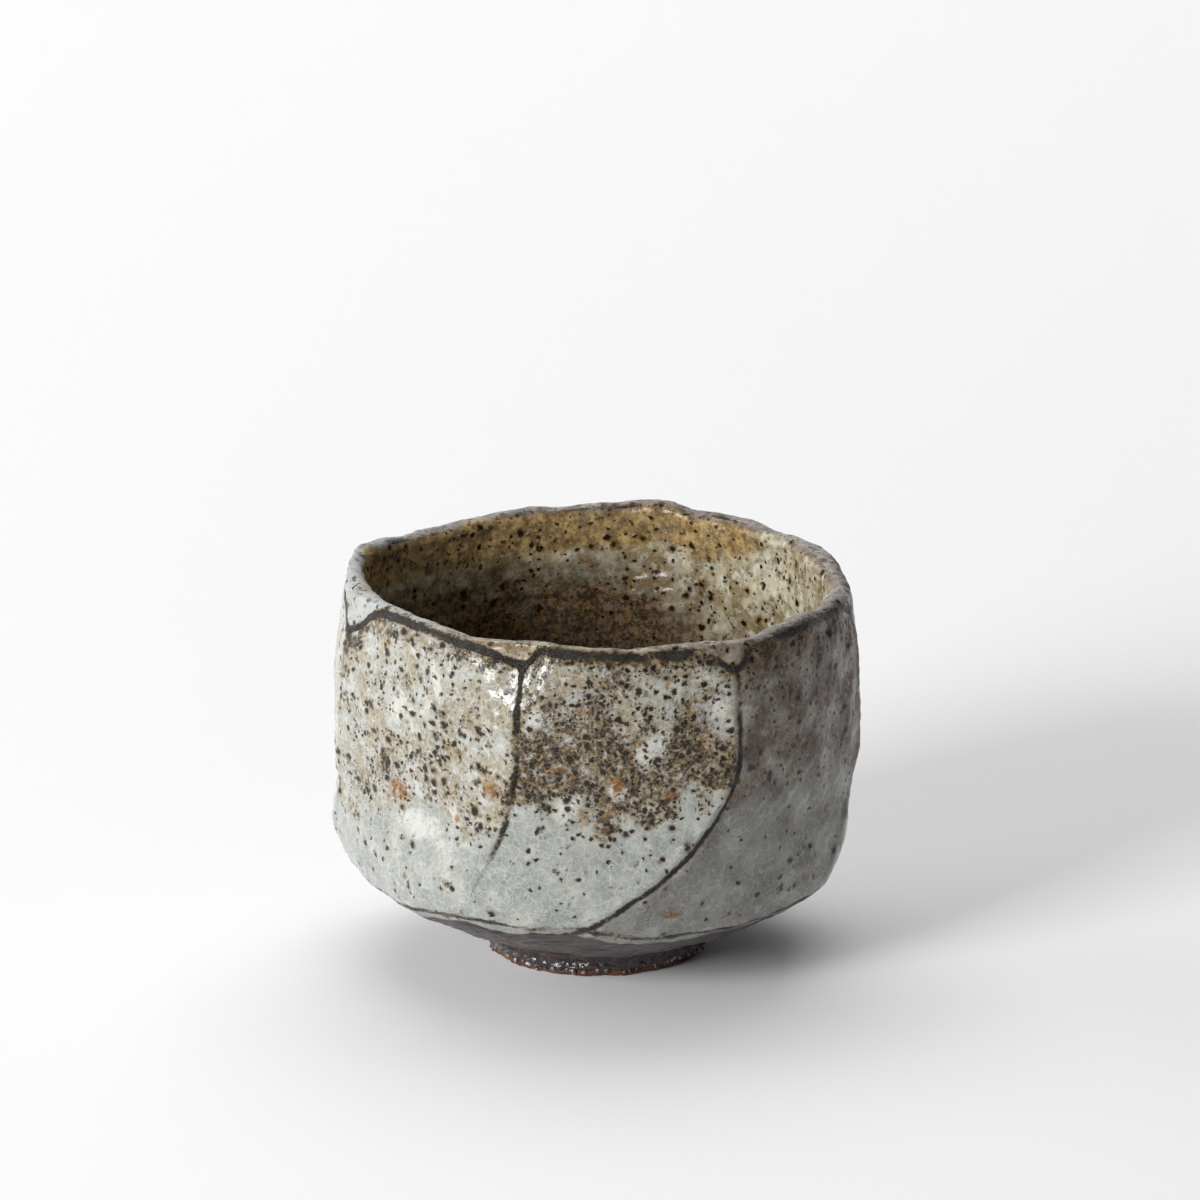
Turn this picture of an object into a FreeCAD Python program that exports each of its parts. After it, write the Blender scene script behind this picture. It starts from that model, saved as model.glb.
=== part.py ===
"""Hand-cut stoneware tea bowl on a turned foot ring, with the coats that cover it.

The clay is a thrown pot with a round lip, whose wall was cut into facets.  The ridges between the
facets stand straight under the lip and sweep to one side above the belly line, so every facet looks
like a petal that lies over the next one.  The coats are thin solids on the clay: glaze on the
facets, over the lip and inside, iron slip on the underside, and a dark run of glaze on the foot
that ends in a row of glass beads.

Frame: millimetres, +Z up, origin at the centre of the foot's resting plane.  -Y is the front.
"""

import FreeCAD
import Part
import Sketcher

import math
import os

# Driving dimensions: name, value, meaning.  All are millimetres except hull_sweep.
SIZES = (
    ("ridge_radius", 58.3, "radius of the clay ridges between the facets, the bowl's widest"),
    ("bowl_height", 85.0, "height of the clay lip"),
    ("foot_radius", 23.2, "outside radius of the foot ring at its resting edge"),
    ("foot_height", 5.2, "height of the foot ring"),
    ("foot_land", 4.6, "radial width of the ring that the bowl rests on"),
    ("foot_flare", 0.7, "how much wider the foot ring is at its top"),
    ("foot_edge", 0.7, "chamfer of the foot ring's resting edges"),
    ("base_border", 2.6, "width of the flat base outside the foot ring"),
    ("knob_height", 1.2, "height of the turned knob in the foot's hollow"),
    ("knob_radius", 6.0, "radius of that knob"),
    ("underside_bow", 75.0, "radius of the underside's curve"),
    ("belly_inset", 8.3, "how far inside the ridges the underside's curve ends"),
    ("belly_height", 17.6, "height of the underside there"),
    ("keel_height", 25.0, "height where the thrown wall starts, outside the facets"),
    ("blank_wall", 2.2, "what the thrown wall had outside the ridges before it was cut"),
    ("lean_height", 60.0, "height where the thrown wall starts to lean in"),
    ("lip_inset", 3.5, "how far the lip's outside stands inside the ridges"),
    ("lip_band", 6.0, "height of the uncut band under the lip's top"),
    ("lip_thickness", 4.8, "thickness of the clay wall at the lip"),
    ("lip_land", 0.6, "width of the lip's flat top between its two rounds"),
    ("floor_thickness", 7.8, "thickness of the clay floor over the foot's hollow"),
    ("floor_rise", 0.8, "how much the well's floor rises from its middle to its edge"),
    ("well_radius", 21.0, "radius of the nearly flat floor of the well"),
    ("well_bow", 30.0, "radius of the curve from the well's floor to the inside wall"),
    ("well_height", 38.0, "height where the inside wall starts"),
    ("inside_bulge", 0.9, "how much wider the inside is at the well's top than at the mouth"),
    ("glaze", 0.7, "thickness of the glaze on the facets, over the lip and inside"),
    ("slip", 0.3, "thickness of the iron slip on the underside"),
    ("foot_glaze", 0.5, "thickness of the glaze run on the foot ring"),
    ("foot_glaze_start", 2.1, "height of that run's lower edge"),
    ("bead_radius", 0.75, "radius of the largest glass beads on the run's lower edge"),
    ("sweep_height", 62.0, "height below which the ridges sweep sideways"),
    ("hull_depth", 1.4, "how far the faceting surface reaches below the clay's base"),
    ("hull_inset", 19.0, "how far its ridges have drawn in there"),
    ("hull_sweep", 1.5, "sweep of its ridges there, as a multiple of that at the belly line"),
    ("top_clearance", 2.2, "how far the faceting surface stands clear of the lip band"),
    ("top_bow", 60.0, "radius of the bow of the faceting surface there"),
)

# The facets were cut by hand, so each ridge has its own place and its own sweep at the belly
# line, in degrees about +Z, counted from the front towards +X.
RIDGES = (
    (-74.0, 20.0),
    (-18.0, 19.0),
    (32.0, 41.0),
    (82.0, 20.0),
    (128.0, 26.0),
    (164.0, 17.0),
    (213.0, 28.0),
    (253.0, 21.0),
)

# Levels of the faceting surface: the share of the way from the belly line (0) to the lip band
# (1), how far the ridges stand inside ridge_radius there, and the radius of the facets' bow.
LEVELS = (
    (0.00, 5.6, 95.0),
    (0.14, 0.9, 100.0),
    (0.32, 0.0, 105.0),
    (0.52, 0.0, 100.0),
    (0.72, 0.5, 95.0),
    (0.90, 2.0, 90.0),
)

BEAD_COUNT = 40
BEAD_SCALES = (1.0, 0.75, 0.9, 0.65, 0.85)

doc = FreeCAD.newDocument("tea_bowl")
sheet = doc.addObject("Spreadsheet::Sheet", "sizes")


# ---------------------------------------------------------------------------------------------
# The spreadsheet and the expressions that read it


def fill_sheet():
    """Writes every driving dimension into the spreadsheet, one row each."""
    rows = list(SIZES)
    for number, (angle, sweep) in enumerate(RIDGES, start=1):
        rows.append((f"ridge_{number}_angle", angle, "place of this ridge under the lip"))
        rows.append((f"ridge_{number}_sweep", sweep, "how far it has swept at the belly line"))
    for number, (share, inset, bow) in enumerate(LEVELS, start=1):
        rows.append((f"level_{number}_share", share, "place between belly line and lip band"))
        rows.append((f"level_{number}_inset", inset, "how far the ridges stand in at this level"))
        rows.append((f"level_{number}_bow", bow, "radius of the facets' bow at this level"))
    for row, (name, value, meaning) in enumerate(rows, start=1):
        sheet.set(f"A{row}", meaning)
        sheet.set(f"B{row}", str(value))
        sheet.setAlias(f"B{row}", name)
    doc.recompute()


def cell(name):
    """The expression that reads one cell."""
    return f"sizes.{name}"


def value_of(expression):
    """The number that an expression gives now."""
    found = sheet.evalExpression(expression)
    return float(getattr(found, "Value", found))


# Places that several pieces share, each worked out from the cells.
FOOT_TOP_RADIUS = f"({cell('foot_radius')} + {cell('foot_flare')})"
BASE_RADIUS = f"({FOOT_TOP_RADIUS} + {cell('base_border')})"
BELLY_RADIUS = f"({cell('ridge_radius')} - {cell('belly_inset')})"
BLANK_RADIUS = f"({cell('ridge_radius')} + {cell('blank_wall')})"
LIP_RADIUS = f"({cell('ridge_radius')} - {cell('lip_inset')})"
LIP_LINE = f"({cell('bowl_height')} - {cell('lip_band')})"
LIP_ROUND = f"(({cell('lip_thickness')} - {cell('lip_land')}) / 2)"
LIP_SIDE = f"({cell('bowl_height')} - {LIP_ROUND})"
MOUTH_RADIUS = f"({LIP_RADIUS} - {cell('lip_thickness')})"
INSIDE_RADIUS = f"({MOUTH_RADIUS} + {cell('inside_bulge')})"
FLOOR_HEIGHT = f"({cell('foot_height')} + {cell('floor_thickness')})"
WELL_EDGE = f"({FLOOR_HEIGHT} + {cell('floor_rise')})"


# ---------------------------------------------------------------------------------------------
# Sketches, bodies and booleans


def new_sketch(body, name, role):
    """A sketch on one of the body's own origin planes."""
    sketch = body.newObject("Sketcher::SketchObject", name)
    plane = next(f for f in body.Origin.OriginFeatures if f.Role == role)
    sketch.AttachmentSupport = [(plane, "")]
    sketch.MapMode = "FlatFace"
    return sketch


def bowed_side(start, end, radius, bulge):
    """A counter-clockwise arc between two corners, bulging right (1) or left (-1) of the way."""
    chord = end - start
    left = FreeCAD.Vector(-chord.y, chord.x, 0).normalize()
    sagitta = radius - math.sqrt(radius**2 - (chord.Length / 2) ** 2)
    middle = (start + end) * 0.5 - left * sagitta * bulge
    return Part.Arc(start, middle, end) if bulge > 0 else Part.Arc(end, middle, start)


def hold(sketch, kind, places, expression):
    """Adds a dimension whose value is an expression."""
    number = sketch.addConstraint(Sketcher.Constraint(kind, *places, value_of(expression)))
    sketch.setExpression(f"Constraints[{number}]", expression)


def draw_outline(sketch, corners, bows):
    """Draws a closed outline through corners, each a pair of expressions.

    bows gives an arc's radius and the side it bulges to, for the side that starts at that corner.
    Every corner is held by two dimensions, and every arc by its radius.
    """
    points = [FreeCAD.Vector(value_of(x), value_of(y), 0) for x, y in corners]
    ends = []
    for side, start in enumerate(points):
        end = points[(side + 1) % len(points)]
        if side in bows:
            radius, bulge = bows[side]
            sketch.addGeometry(bowed_side(start, end, value_of(radius), bulge), False)
        else:
            bulge = 1
            sketch.addGeometry(Part.LineSegment(start, end), False)
        # The sketch's own start (1) and end (2) of this side, in the outline's direction.
        ends.append((1, 2) if bulge > 0 else (2, 1))
    for side, (start, end) in enumerate(ends):
        after = (side + 1) % len(points)
        sketch.addConstraint(Sketcher.Constraint("Coincident", side, end, after, ends[after][0]))
        hold(sketch, "DistanceX", (-1, 1, side, start), corners[side][0])
        hold(sketch, "DistanceY", (-1, 1, side, start), corners[side][1])
    for side, (radius, _) in bows.items():
        hold(sketch, "Radius", (side,), radius)


def turned(name, corners, bows=None):
    """A body made by turning an outline of radius and height about the bowl's axis."""
    body = doc.addObject("PartDesign::Body", name)
    sketch = new_sketch(body, f"{name}_outline", "XZ_Plane")
    draw_outline(sketch, corners, bows or {})
    turn = body.newObject("PartDesign::Revolution", f"{name}_turn")
    turn.Profile = sketch
    turn.ReferenceAxis = (sketch, ["V_Axis"])
    turn.Angle = 360
    doc.recompute()
    return body


def combine(kind, name, base, tool):
    """A Part boolean of two objects. kind is Cut or Common."""
    made = doc.addObject(f"Part::{kind}", name)
    made.Base = base
    made.Tool = tool
    doc.recompute()
    return made


# ---------------------------------------------------------------------------------------------
# The faceting surface


def sweep_share(height):
    """Share of the belly line's sweep at a height: it grows with the square of the depth."""
    start = cell("sweep_height")
    return f"(max(0; {start} - ({height})) / ({start} - {cell('belly_height')})) ^ 2"


def facet_levels(grow):
    """Height, ridge radius, facet bow and sweep share of each level, from the bottom up."""
    belly, ridge = cell("belly_height"), cell("ridge_radius")
    bottom = (
        f"{cell('foot_height')} - {cell('hull_depth')}",
        f"{ridge} - {cell('hull_inset')} + {grow}",
        f"{cell('level_1_bow')} + {grow}",
        cell("hull_sweep"),
    )
    levels = [bottom]
    for number in range(1, len(LEVELS) + 1):
        height = f"{belly} + ({LIP_LINE} - {belly}) * {cell(f'level_{number}_share')}"
        radius = f"{ridge} - {cell(f'level_{number}_inset')} + {grow}"
        bow = f"{cell(f'level_{number}_bow')} + {grow}"
        levels.append((height, radius, bow, sweep_share(height)))
    top_radius = f"{LIP_RADIUS} + {cell('top_clearance')} + {grow}"
    levels.append((LIP_LINE, top_radius, f"{cell('top_bow')} + {grow}", sweep_share(LIP_LINE)))
    return levels


def faceted_hull(name, grow):
    """The solid inside the faceting surface, lofted through many-sided sections."""
    body = doc.addObject("PartDesign::Body", name)
    sections = []
    for number, (height, radius, bow, share) in enumerate(facet_levels(grow), start=1):
        sketch = new_sketch(body, f"{name}_level_{number}", "XY_Plane")
        sketch.setExpression("AttachmentOffset.Base.z", height)
        corners, bows = [], {}
        for ridge in range(1, len(RIDGES) + 1):
            angle = f"({cell(f'ridge_{ridge}_angle')} - {cell(f'ridge_{ridge}_sweep')} * {share})"
            corners.append((f"({radius}) * sin({angle})", f"-({radius}) * cos({angle})"))
            bows[ridge - 1] = (bow, 1)
        draw_outline(sketch, corners, bows)
        sections.append(sketch)
    loft = body.newObject("PartDesign::AdditiveLoft", f"{name}_loft")
    loft.Profile = sections[0]
    loft.Sections = sections[1:]
    loft.Ruled = False
    doc.recompute()
    return body


# ---------------------------------------------------------------------------------------------
# The clay


def underside_corners(drop):
    """The underside from the foot ring outwards, moved down by drop."""
    return [
        (BASE_RADIUS, f"{cell('foot_height')} - {drop}"),
        (BELLY_RADIUS, f"{cell('belly_height')} - {drop}"),
        (BLANK_RADIUS, f"{cell('keel_height')} - {drop}"),
    ]


def thrown_blank():
    """The pot as thrown and turned, before it is cut, with no inside."""
    corners = [
        ("0", f"{cell('foot_height')} - {cell('knob_height')}"),
        (cell("knob_radius"), cell("foot_height")),
        *underside_corners("0"),
        (BLANK_RADIUS, cell("lean_height")),
        (LIP_RADIUS, LIP_LINE),
        (LIP_RADIUS, LIP_SIDE),
        (f"{LIP_RADIUS} - {LIP_ROUND}", cell("bowl_height")),
        ("0", cell("bowl_height")),
    ]
    return turned("thrown_blank", corners, {2: (cell("underside_bow"), 1), 7: (LIP_ROUND, 1)})


def cavity():
    """The inside of the clay, open upwards, with the mouth's inner round."""
    above = f"{cell('bowl_height')} + {LIP_ROUND}"
    corners = [
        ("0", FLOOR_HEIGHT),
        (cell("well_radius"), WELL_EDGE),
        (INSIDE_RADIUS, cell("well_height")),
        (MOUTH_RADIUS, LIP_LINE),
        (MOUTH_RADIUS, LIP_SIDE),
        (f"{MOUTH_RADIUS} + {LIP_ROUND}", cell("bowl_height")),
        (f"{MOUTH_RADIUS} + {LIP_ROUND}", above),
        ("0", above),
    ]
    return turned("cavity", corners, {1: (cell("well_bow"), 1), 4: (LIP_ROUND, -1)})


def foot_ring():
    """The ring that the bowl stands on."""
    inner = f"({cell('foot_radius')} - {cell('foot_land')})"
    corners = [
        (f"{inner} + {cell('foot_edge')}", "0"),
        (f"{cell('foot_radius')} - {cell('foot_edge')}", "0"),
        (cell("foot_radius"), cell("foot_edge")),
        (FOOT_TOP_RADIUS, cell("foot_height")),
        (inner, cell("foot_height")),
        (inner, cell("foot_edge")),
    ]
    return turned("foot_ring", corners)


# ---------------------------------------------------------------------------------------------
# The coats


def glaze_blank():
    """Everything under the lip band out to where the wall's glaze may reach."""
    corners = [
        ("0", cell("foot_height")),
        *underside_corners("0"),
        (BLANK_RADIUS, cell("lean_height")),
        (f"{LIP_RADIUS} + {cell('glaze')}", LIP_LINE),
        ("0", LIP_LINE),
    ]
    return turned("glaze_blank", corners, {1: (cell("underside_bow"), 1)})


def lip_glaze():
    """The glaze over the lip, down both sides of the band."""
    glaze = cell("glaze")
    outer, inner = LIP_RADIUS, MOUTH_RADIUS
    top = cell("bowl_height")
    corners = [
        (outer, LIP_LINE),
        (f"{outer} + {glaze}", LIP_LINE),
        (f"{outer} + {glaze}", LIP_SIDE),
        (f"{outer} - {LIP_ROUND}", f"{top} + {glaze}"),
        (f"{inner} + {LIP_ROUND}", f"{top} + {glaze}"),
        (f"{inner} - {glaze}", LIP_SIDE),
        (f"{inner} - {glaze}", LIP_LINE),
        (inner, LIP_LINE),
        (inner, LIP_SIDE),
        (f"{inner} + {LIP_ROUND}", top),
        (f"{outer} - {LIP_ROUND}", top),
        (outer, LIP_SIDE),
    ]
    coat_round = f"{LIP_ROUND} + {glaze}"
    bows = {2: (coat_round, 1), 4: (coat_round, 1), 8: (LIP_ROUND, -1), 10: (LIP_ROUND, -1)}
    return turned("lip_glaze", corners, bows)


def inner_glaze():
    """The glaze that lines the inside, from the lip band down to the well's floor."""
    glaze = cell("glaze")
    corners = [
        ("0", FLOOR_HEIGHT),
        (cell("well_radius"), WELL_EDGE),
        (INSIDE_RADIUS, cell("well_height")),
        (MOUTH_RADIUS, LIP_LINE),
        (f"{MOUTH_RADIUS} - {glaze}", LIP_LINE),
        (f"{INSIDE_RADIUS} - {glaze}", cell("well_height")),
        (cell("well_radius"), f"{WELL_EDGE} + {glaze}"),
        ("0", f"{FLOOR_HEIGHT} + {glaze}"),
    ]
    bows = {1: (cell("well_bow"), 1), 5: (f"{cell('well_bow')} - {glaze}", -1)}
    return turned("inner_glaze", corners, bows)


def slip_blank():
    """A layer under the underside, out past the facets."""
    below, at = underside_corners(cell("slip")), underside_corners("0")
    corners = [
        (FOOT_TOP_RADIUS, f"{cell('foot_height')} - {cell('slip')}"),
        *below,
        *reversed(at),
        (FOOT_TOP_RADIUS, cell("foot_height")),
    ]
    bows = {1: (cell("underside_bow"), 1), 5: (cell("underside_bow"), -1)}
    return turned("slip_blank", corners, bows)


def foot_wall_radius(height):
    """Radius of the foot ring's flared outside at a height."""
    edge = cell("foot_edge")
    share = f"(({height}) - {edge}) / ({cell('foot_height')} - {edge})"
    return f"({cell('foot_radius')} + {cell('foot_flare')} * {share})"


def foot_glaze():
    """The dark run of glaze round the foot ring, from its ragged edge up to the slip."""
    bottom = cell("foot_glaze_start")
    top = f"{cell('foot_height')} - {cell('slip')}"
    corners = [
        (foot_wall_radius(bottom), bottom),
        (f"{foot_wall_radius(bottom)} + {cell('foot_glaze')}", bottom),
        (f"{foot_wall_radius(top)} + {cell('foot_glaze')}", top),
        (foot_wall_radius(top), top),
    ]
    return turned("foot_glaze", corners)


def foot_beads(carriers):
    """Glass beads along the run's lower edge: balls with the pieces that carry them cut away."""
    balls = []
    for number in range(BEAD_COUNT):
        ball = doc.addObject("Part::Sphere", f"bead_{number + 1}")
        scale = BEAD_SCALES[number % len(BEAD_SCALES)]
        angle = 360 * number / BEAD_COUNT
        radius = f"({foot_wall_radius(cell('foot_glaze_start'))} + {cell('foot_glaze')})"
        ball.setExpression("Radius", f"{cell('bead_radius')} * {scale}")
        ball.setExpression("Placement.Base.x", f"{radius} * cos({angle})")
        ball.setExpression("Placement.Base.y", f"{radius} * sin({angle})")
        ball.setExpression("Placement.Base.z", cell("foot_glaze_start"))
        balls.append(ball)
    beads = doc.addObject("Part::Compound", "balls")
    beads.Links = balls
    doc.recompute()
    for number, carrier in enumerate(carriers, start=1):
        last = number == len(carriers)
        beads = combine("Cut", "foot_beads" if last else f"balls_cut_{number}", beads, carrier)
    return beads


# ---------------------------------------------------------------------------------------------
# Building, checking and writing


def check_document():
    """Stops if any object of the document failed to build."""
    for thing in doc.Objects:
        if "Invalid" in thing.State or "Error" in thing.State:
            raise RuntimeError(f"{thing.Name} did not build: {thing.State}")


def write_part(name, thing):
    """Labels a finished piece with its node's name and writes its solids."""
    thing.Label = name
    shape = thing.Shape
    if shape.isNull() or not shape.isValid() or not shape.Solids:
        raise RuntimeError(f"{name} has no valid solid")
    solids = shape.Solids
    written = solids[0] if len(solids) == 1 else Part.makeCompound(solids)
    written.exportStep(os.path.join("parts", f"{name}.step"))
    print(f"{name}: {len(solids)} solids, {written.Volume:.1f} mm3")


def build():
    fill_sheet()
    blank = thrown_blank()
    clay_hull = faceted_hull("clay_hull", "0")
    glaze_hull = faceted_hull("glaze_hull", cell("glaze"))
    cut_pot = combine("Common", "cut_pot", blank, clay_hull)
    glazed_wall = combine("Common", "glazed_wall", glaze_blank(), glaze_hull)
    ring = foot_ring()
    run = foot_glaze()
    pieces = {
        "clay_bowl": combine("Cut", "clay_bowl", cut_pot, cavity()),
        "foot_ring": ring,
        "outer_glaze": combine("Cut", "outer_glaze", glazed_wall, cut_pot),
        "lip_glaze": lip_glaze(),
        "inner_glaze": inner_glaze(),
        "iron_slip": combine("Common", "iron_slip", slip_blank(), glaze_hull),
        "foot_glaze": run,
        "foot_beads": foot_beads([ring, run]),
    }
    check_document()
    os.makedirs("parts", exist_ok=True)
    for name, thing in pieces.items():
        write_part(name, thing)


build()
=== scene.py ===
"""Looks of the hand-cut stoneware tea bowl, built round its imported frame.

Every coat is a closed shell of rings about the bowl's axis.  The shape functions work in
millimetres; meshes are made in metres.  Angles are degrees about +Z, from -Y towards +X.
"""
import math

import bpy
import numpy as np
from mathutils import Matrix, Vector


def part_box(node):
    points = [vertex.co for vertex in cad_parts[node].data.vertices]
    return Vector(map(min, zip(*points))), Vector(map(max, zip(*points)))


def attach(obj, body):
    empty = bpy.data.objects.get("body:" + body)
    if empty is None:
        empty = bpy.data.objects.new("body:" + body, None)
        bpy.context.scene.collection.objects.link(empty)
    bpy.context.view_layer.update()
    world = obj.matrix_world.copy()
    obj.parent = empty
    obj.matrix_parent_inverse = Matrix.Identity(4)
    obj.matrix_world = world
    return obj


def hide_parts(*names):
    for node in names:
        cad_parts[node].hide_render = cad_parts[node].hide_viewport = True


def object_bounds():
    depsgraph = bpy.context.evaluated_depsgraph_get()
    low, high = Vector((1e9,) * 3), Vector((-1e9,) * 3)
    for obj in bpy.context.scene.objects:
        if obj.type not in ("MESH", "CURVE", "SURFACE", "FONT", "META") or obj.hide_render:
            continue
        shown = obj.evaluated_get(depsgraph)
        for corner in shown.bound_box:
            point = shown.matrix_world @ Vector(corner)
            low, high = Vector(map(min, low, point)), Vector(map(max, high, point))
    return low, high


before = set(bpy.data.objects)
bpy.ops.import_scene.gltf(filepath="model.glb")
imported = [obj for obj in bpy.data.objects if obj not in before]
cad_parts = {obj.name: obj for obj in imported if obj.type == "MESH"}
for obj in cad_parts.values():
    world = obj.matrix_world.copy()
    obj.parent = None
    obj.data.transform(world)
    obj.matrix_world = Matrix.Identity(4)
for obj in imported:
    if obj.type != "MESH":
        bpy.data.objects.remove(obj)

CAD_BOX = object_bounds()
MM = 0.001

# ---------- Driving sizes, read from the frame where a node has them


def node_box(node):
    """Lowest and highest corner of a node, in millimetres."""
    return [np.array(corner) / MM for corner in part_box(node)]


LIP_RADIUS = node_box("lip_glaze")[1][0]
LIP_TOP = node_box("lip_glaze")[1][2]
FOOT_HEIGHT = node_box("foot_ring")[1][2]
FOOT_RADIUS = node_box("foot_ring")[1][0]
GLAZED_RIDGE = node_box("outer_glaze")[1][0] + 0.8
FLOOR_HEIGHT = node_box("inner_glaze")[0][2] + 0.7
BASE_RADIUS = FOOT_RADIUS + 1.7

# Height where the lip's glaze meets the lining, width of the foot's land, thicknesses of the
# coats, and how far inside the glazed surface the clay's own surface lies.
INNER_SEAM = 78.0
FOOT_LAND = 4.6
GLAZE = 0.8
SLIP = 0.5
CLAY_INSET = 1.3

# Place under the lip and sideways sweep at the belly line of each ridge between the facets.
RIDGES = (
    (-74, 20),
    (-18, 19),
    (32, 41),
    (82, 20),
    (128, 26),
    (164, 17),
    (213, 28),
    (253, 21),
)
SWEEP_TOP = 62.0  # ridges run straight down to here, then sweep
SWEEP_LENGTH = 44.4  # from there down to the belly line
LOWEST_SWEEP = 14.0

# Facets with looks of their own: the ridge before the first one and the ridge after the last one.
FRONT_FACET = (1, 2)
# On the right facets the darker purple-brown tint is partly the glaze's own and partly painted
# shade.
MAUVE_SHADED_SIDE = (2, 4)
# The far-left facet has fewer specks and is whitened as painted light, where it faces the lamps.
FAR_LEFT = (7, 8)

# Height of a section of the facets, its corners' radius over the widest ridge's, radius of its bow.
FACET_LEVELS = (
    (6.0, -21.0, 66.0),
    (17.6, -6.6, 72.0),
    (21.5, -4.0, 80.0),
    (26.0, -2.2, 90.0),
    (33.0, -1.3, 105.0),
    (42.0, -1.4, 105.0),
    (50.0, -0.6, 105.0),
    (62.0, -0.4, 100.0),
    (72.0, -1.2, 92.0),
    (80.0, -2.1, 86.0),
    (90.0, -2.9, 80.0),
)

BELLY_LEAN = 0.8  # the belly stands this far over to one side

# How far each stretch of the lip stands over or under its mean height.
LIP_WAVES = (
    (-98, 1.7), (-78, 2.0), (-60, 1.6), (-45, 0.9), (-32, -0.2),
    (-20, 0.1), (-8, 0.5), (8, -0.7), (22, -0.3), (36, -1.0),
    (50, -0.7), (64, -0.9), (80, -1.2), (95, -1.0), (108, 0.7),
    (120, 0.6), (129, -0.1), (139, 1.0), (154, 0.8), (163, 2.5),
    (172, 1.8), (185, 0.9), (205, 0.6), (226, 0.2), (243, 1.0),
)
LIP_MEAN = LIP_TOP - 0.9
LIP_ROUND = 2.5
LIP_BULGE = (256, 2.4, 16)  # place, how far out, half width
LIP_START = 70.0  # the lip's lines start at this height, and are cut at the facets' tops

# The facets stop this far under the lip, and lower still at each ridge: place, dip, half width
# before the ridge and after it.
FACET_GAP = 1.2
RIDGE_DIPS = (
    (-74, 7.6, 9.0, 9.0),
    (-17, 3.2, 7.0, 2.2),
    (32, 4.4, 4.6, 4.6),
    (82, 2.6, 5.0, 5.0),
    (128, 2.6, 6.0, 6.0),
    (164, 3.6, 4.5, 4.5),
    (213, 3.0, 5.0, 5.0),
    (253, 4.0, 6.0, 6.0),
)

COLUMNS = 100  # per facet
ALL_COLUMNS = COLUMNS * len(RIDGES)


# ---------- Curves, waves and blends


def shares(count):
    """A column of numbers from 0 to 1."""
    return np.linspace(0, 1, count)[:, None]


def smooth_step(low, high, value):
    share = np.clip((value - low) / (high - low), 0, 1)
    return share * share * (3 - 2 * share)


def bell(distance, width):
    return np.exp(-((distance / width) ** 2))


def soft_min(first, second, blend):
    """The smaller of two surfaces, with the edge between them rounded over blend."""
    share = np.clip(0.5 + 0.5 * (second - first) / blend, 0, 1)
    return second + (first - second) * share - blend * share * (1 - share)


def curve_through(places, values, at):
    """A smooth curve through given points, held flat outside them."""
    places, values = np.asarray(places, float), np.asarray(values, float)
    slopes = np.gradient(values, places)
    index = np.clip(np.searchsorted(places, at) - 1, 0, len(places) - 2)
    step = places[index + 1] - places[index]
    t = np.clip((at - places[index]) / step, 0, 1)
    rise = (2 * t**3 - 3 * t**2 + 1) * values[index] + (3 * t**2 - 2 * t**3) * values[index + 1]
    lean = (t**3 - 2 * t**2 + t) * slopes[index] + (t**3 - t**2) * slopes[index + 1]
    return rise + lean * step


def turn_between(first, second):
    """Signed angle from second to first, in degrees, within half a turn."""
    return (first - second + 180) % 360 - 180


WAVE_COUNT = 28


def waves(points, length, seed):
    """Smooth noise of about unit size, with features about length apart."""
    rng = np.random.default_rng(seed)
    ways = rng.normal(size=(WAVE_COUNT, 3))
    spread = rng.uniform(0.6, 1.4, (WAVE_COUNT, 1))
    ways *= (2 * math.pi / length) * spread / np.linalg.norm(ways, axis=1)[:, None]
    starts = rng.uniform(0, 2 * math.pi, WAVE_COUNT)
    flat = points.reshape(-1, 3)
    total = np.cos(flat @ ways.T + starts).sum(axis=1) * math.sqrt(2 / WAVE_COUNT)
    return total.reshape(points.shape[:-1])


def around(angle, radius, height):
    """Points in millimetres from angle, radius and height."""
    turn = np.radians(angle)
    parts = np.broadcast_arrays(radius * np.sin(turn), -radius * np.cos(turn), height)
    return np.stack(parts, axis=-1)


def angle_of(points):
    """The angle of each point about the bowl's axis, in degrees."""
    return np.degrees(np.arctan2(points[..., 0], -points[..., 1]))


# ---------- The bowl's surfaces.  Arrays hold a row per ring and a column per place round the bowl.

FACET = np.repeat(np.arange(len(RIDGES)), COLUMNS)
SHARE = np.tile(np.arange(COLUMNS) / COLUMNS, len(RIDGES))


RIDGE_PLACES = np.array([place for place, _ in RIDGES] + [RIDGES[0][0] + 360.0])
RIDGE_SWEEPS = np.array([swept for _, swept in RIDGES] + [RIDGES[0][1]])


def sweep_depth(height):
    """How far a height lies under the place where the ridges start to sweep."""
    return np.clip(SWEEP_TOP - np.maximum(height, LOWEST_SWEEP), 0, None)


def ridge_ends(height):
    """Angles of the ridges left and right of each column at a height."""
    sweep = (sweep_depth(height) / SWEEP_LENGTH) ** 2
    left = RIDGE_PLACES[FACET] - RIDGE_SWEEPS[FACET] * sweep
    right = RIDGE_PLACES[FACET + 1] - RIDGE_SWEEPS[FACET + 1] * sweep
    return left, right


def column_angle(height):
    left, right = ridge_ends(height)
    return left + (right - left) * SHARE


def facet_radius(height):
    """Radius of the cut facets: each section is a polygon with bowed sides."""
    levels = np.array(FACET_LEVELS)
    corner = GLAZED_RIDGE + curve_through(levels[:, 0], levels[:, 1], height)
    lean = BELLY_LEAN * smooth_step(50, 28, height)
    corner = corner - np.sin(np.radians(column_angle(height))) * lean
    bow = curve_through(levels[:, 0], levels[:, 2], height)
    left, right = ridge_ends(height)
    half = np.radians(right - left) / 2
    centre = corner * np.cos(half) - np.sqrt(bow**2 - (corner * np.sin(half)) ** 2)
    off = np.radians(column_angle(height) - (left + right) / 2)
    return centre * np.cos(off) + np.sqrt(bow**2 - (centre * np.sin(off)) ** 2)


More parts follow.
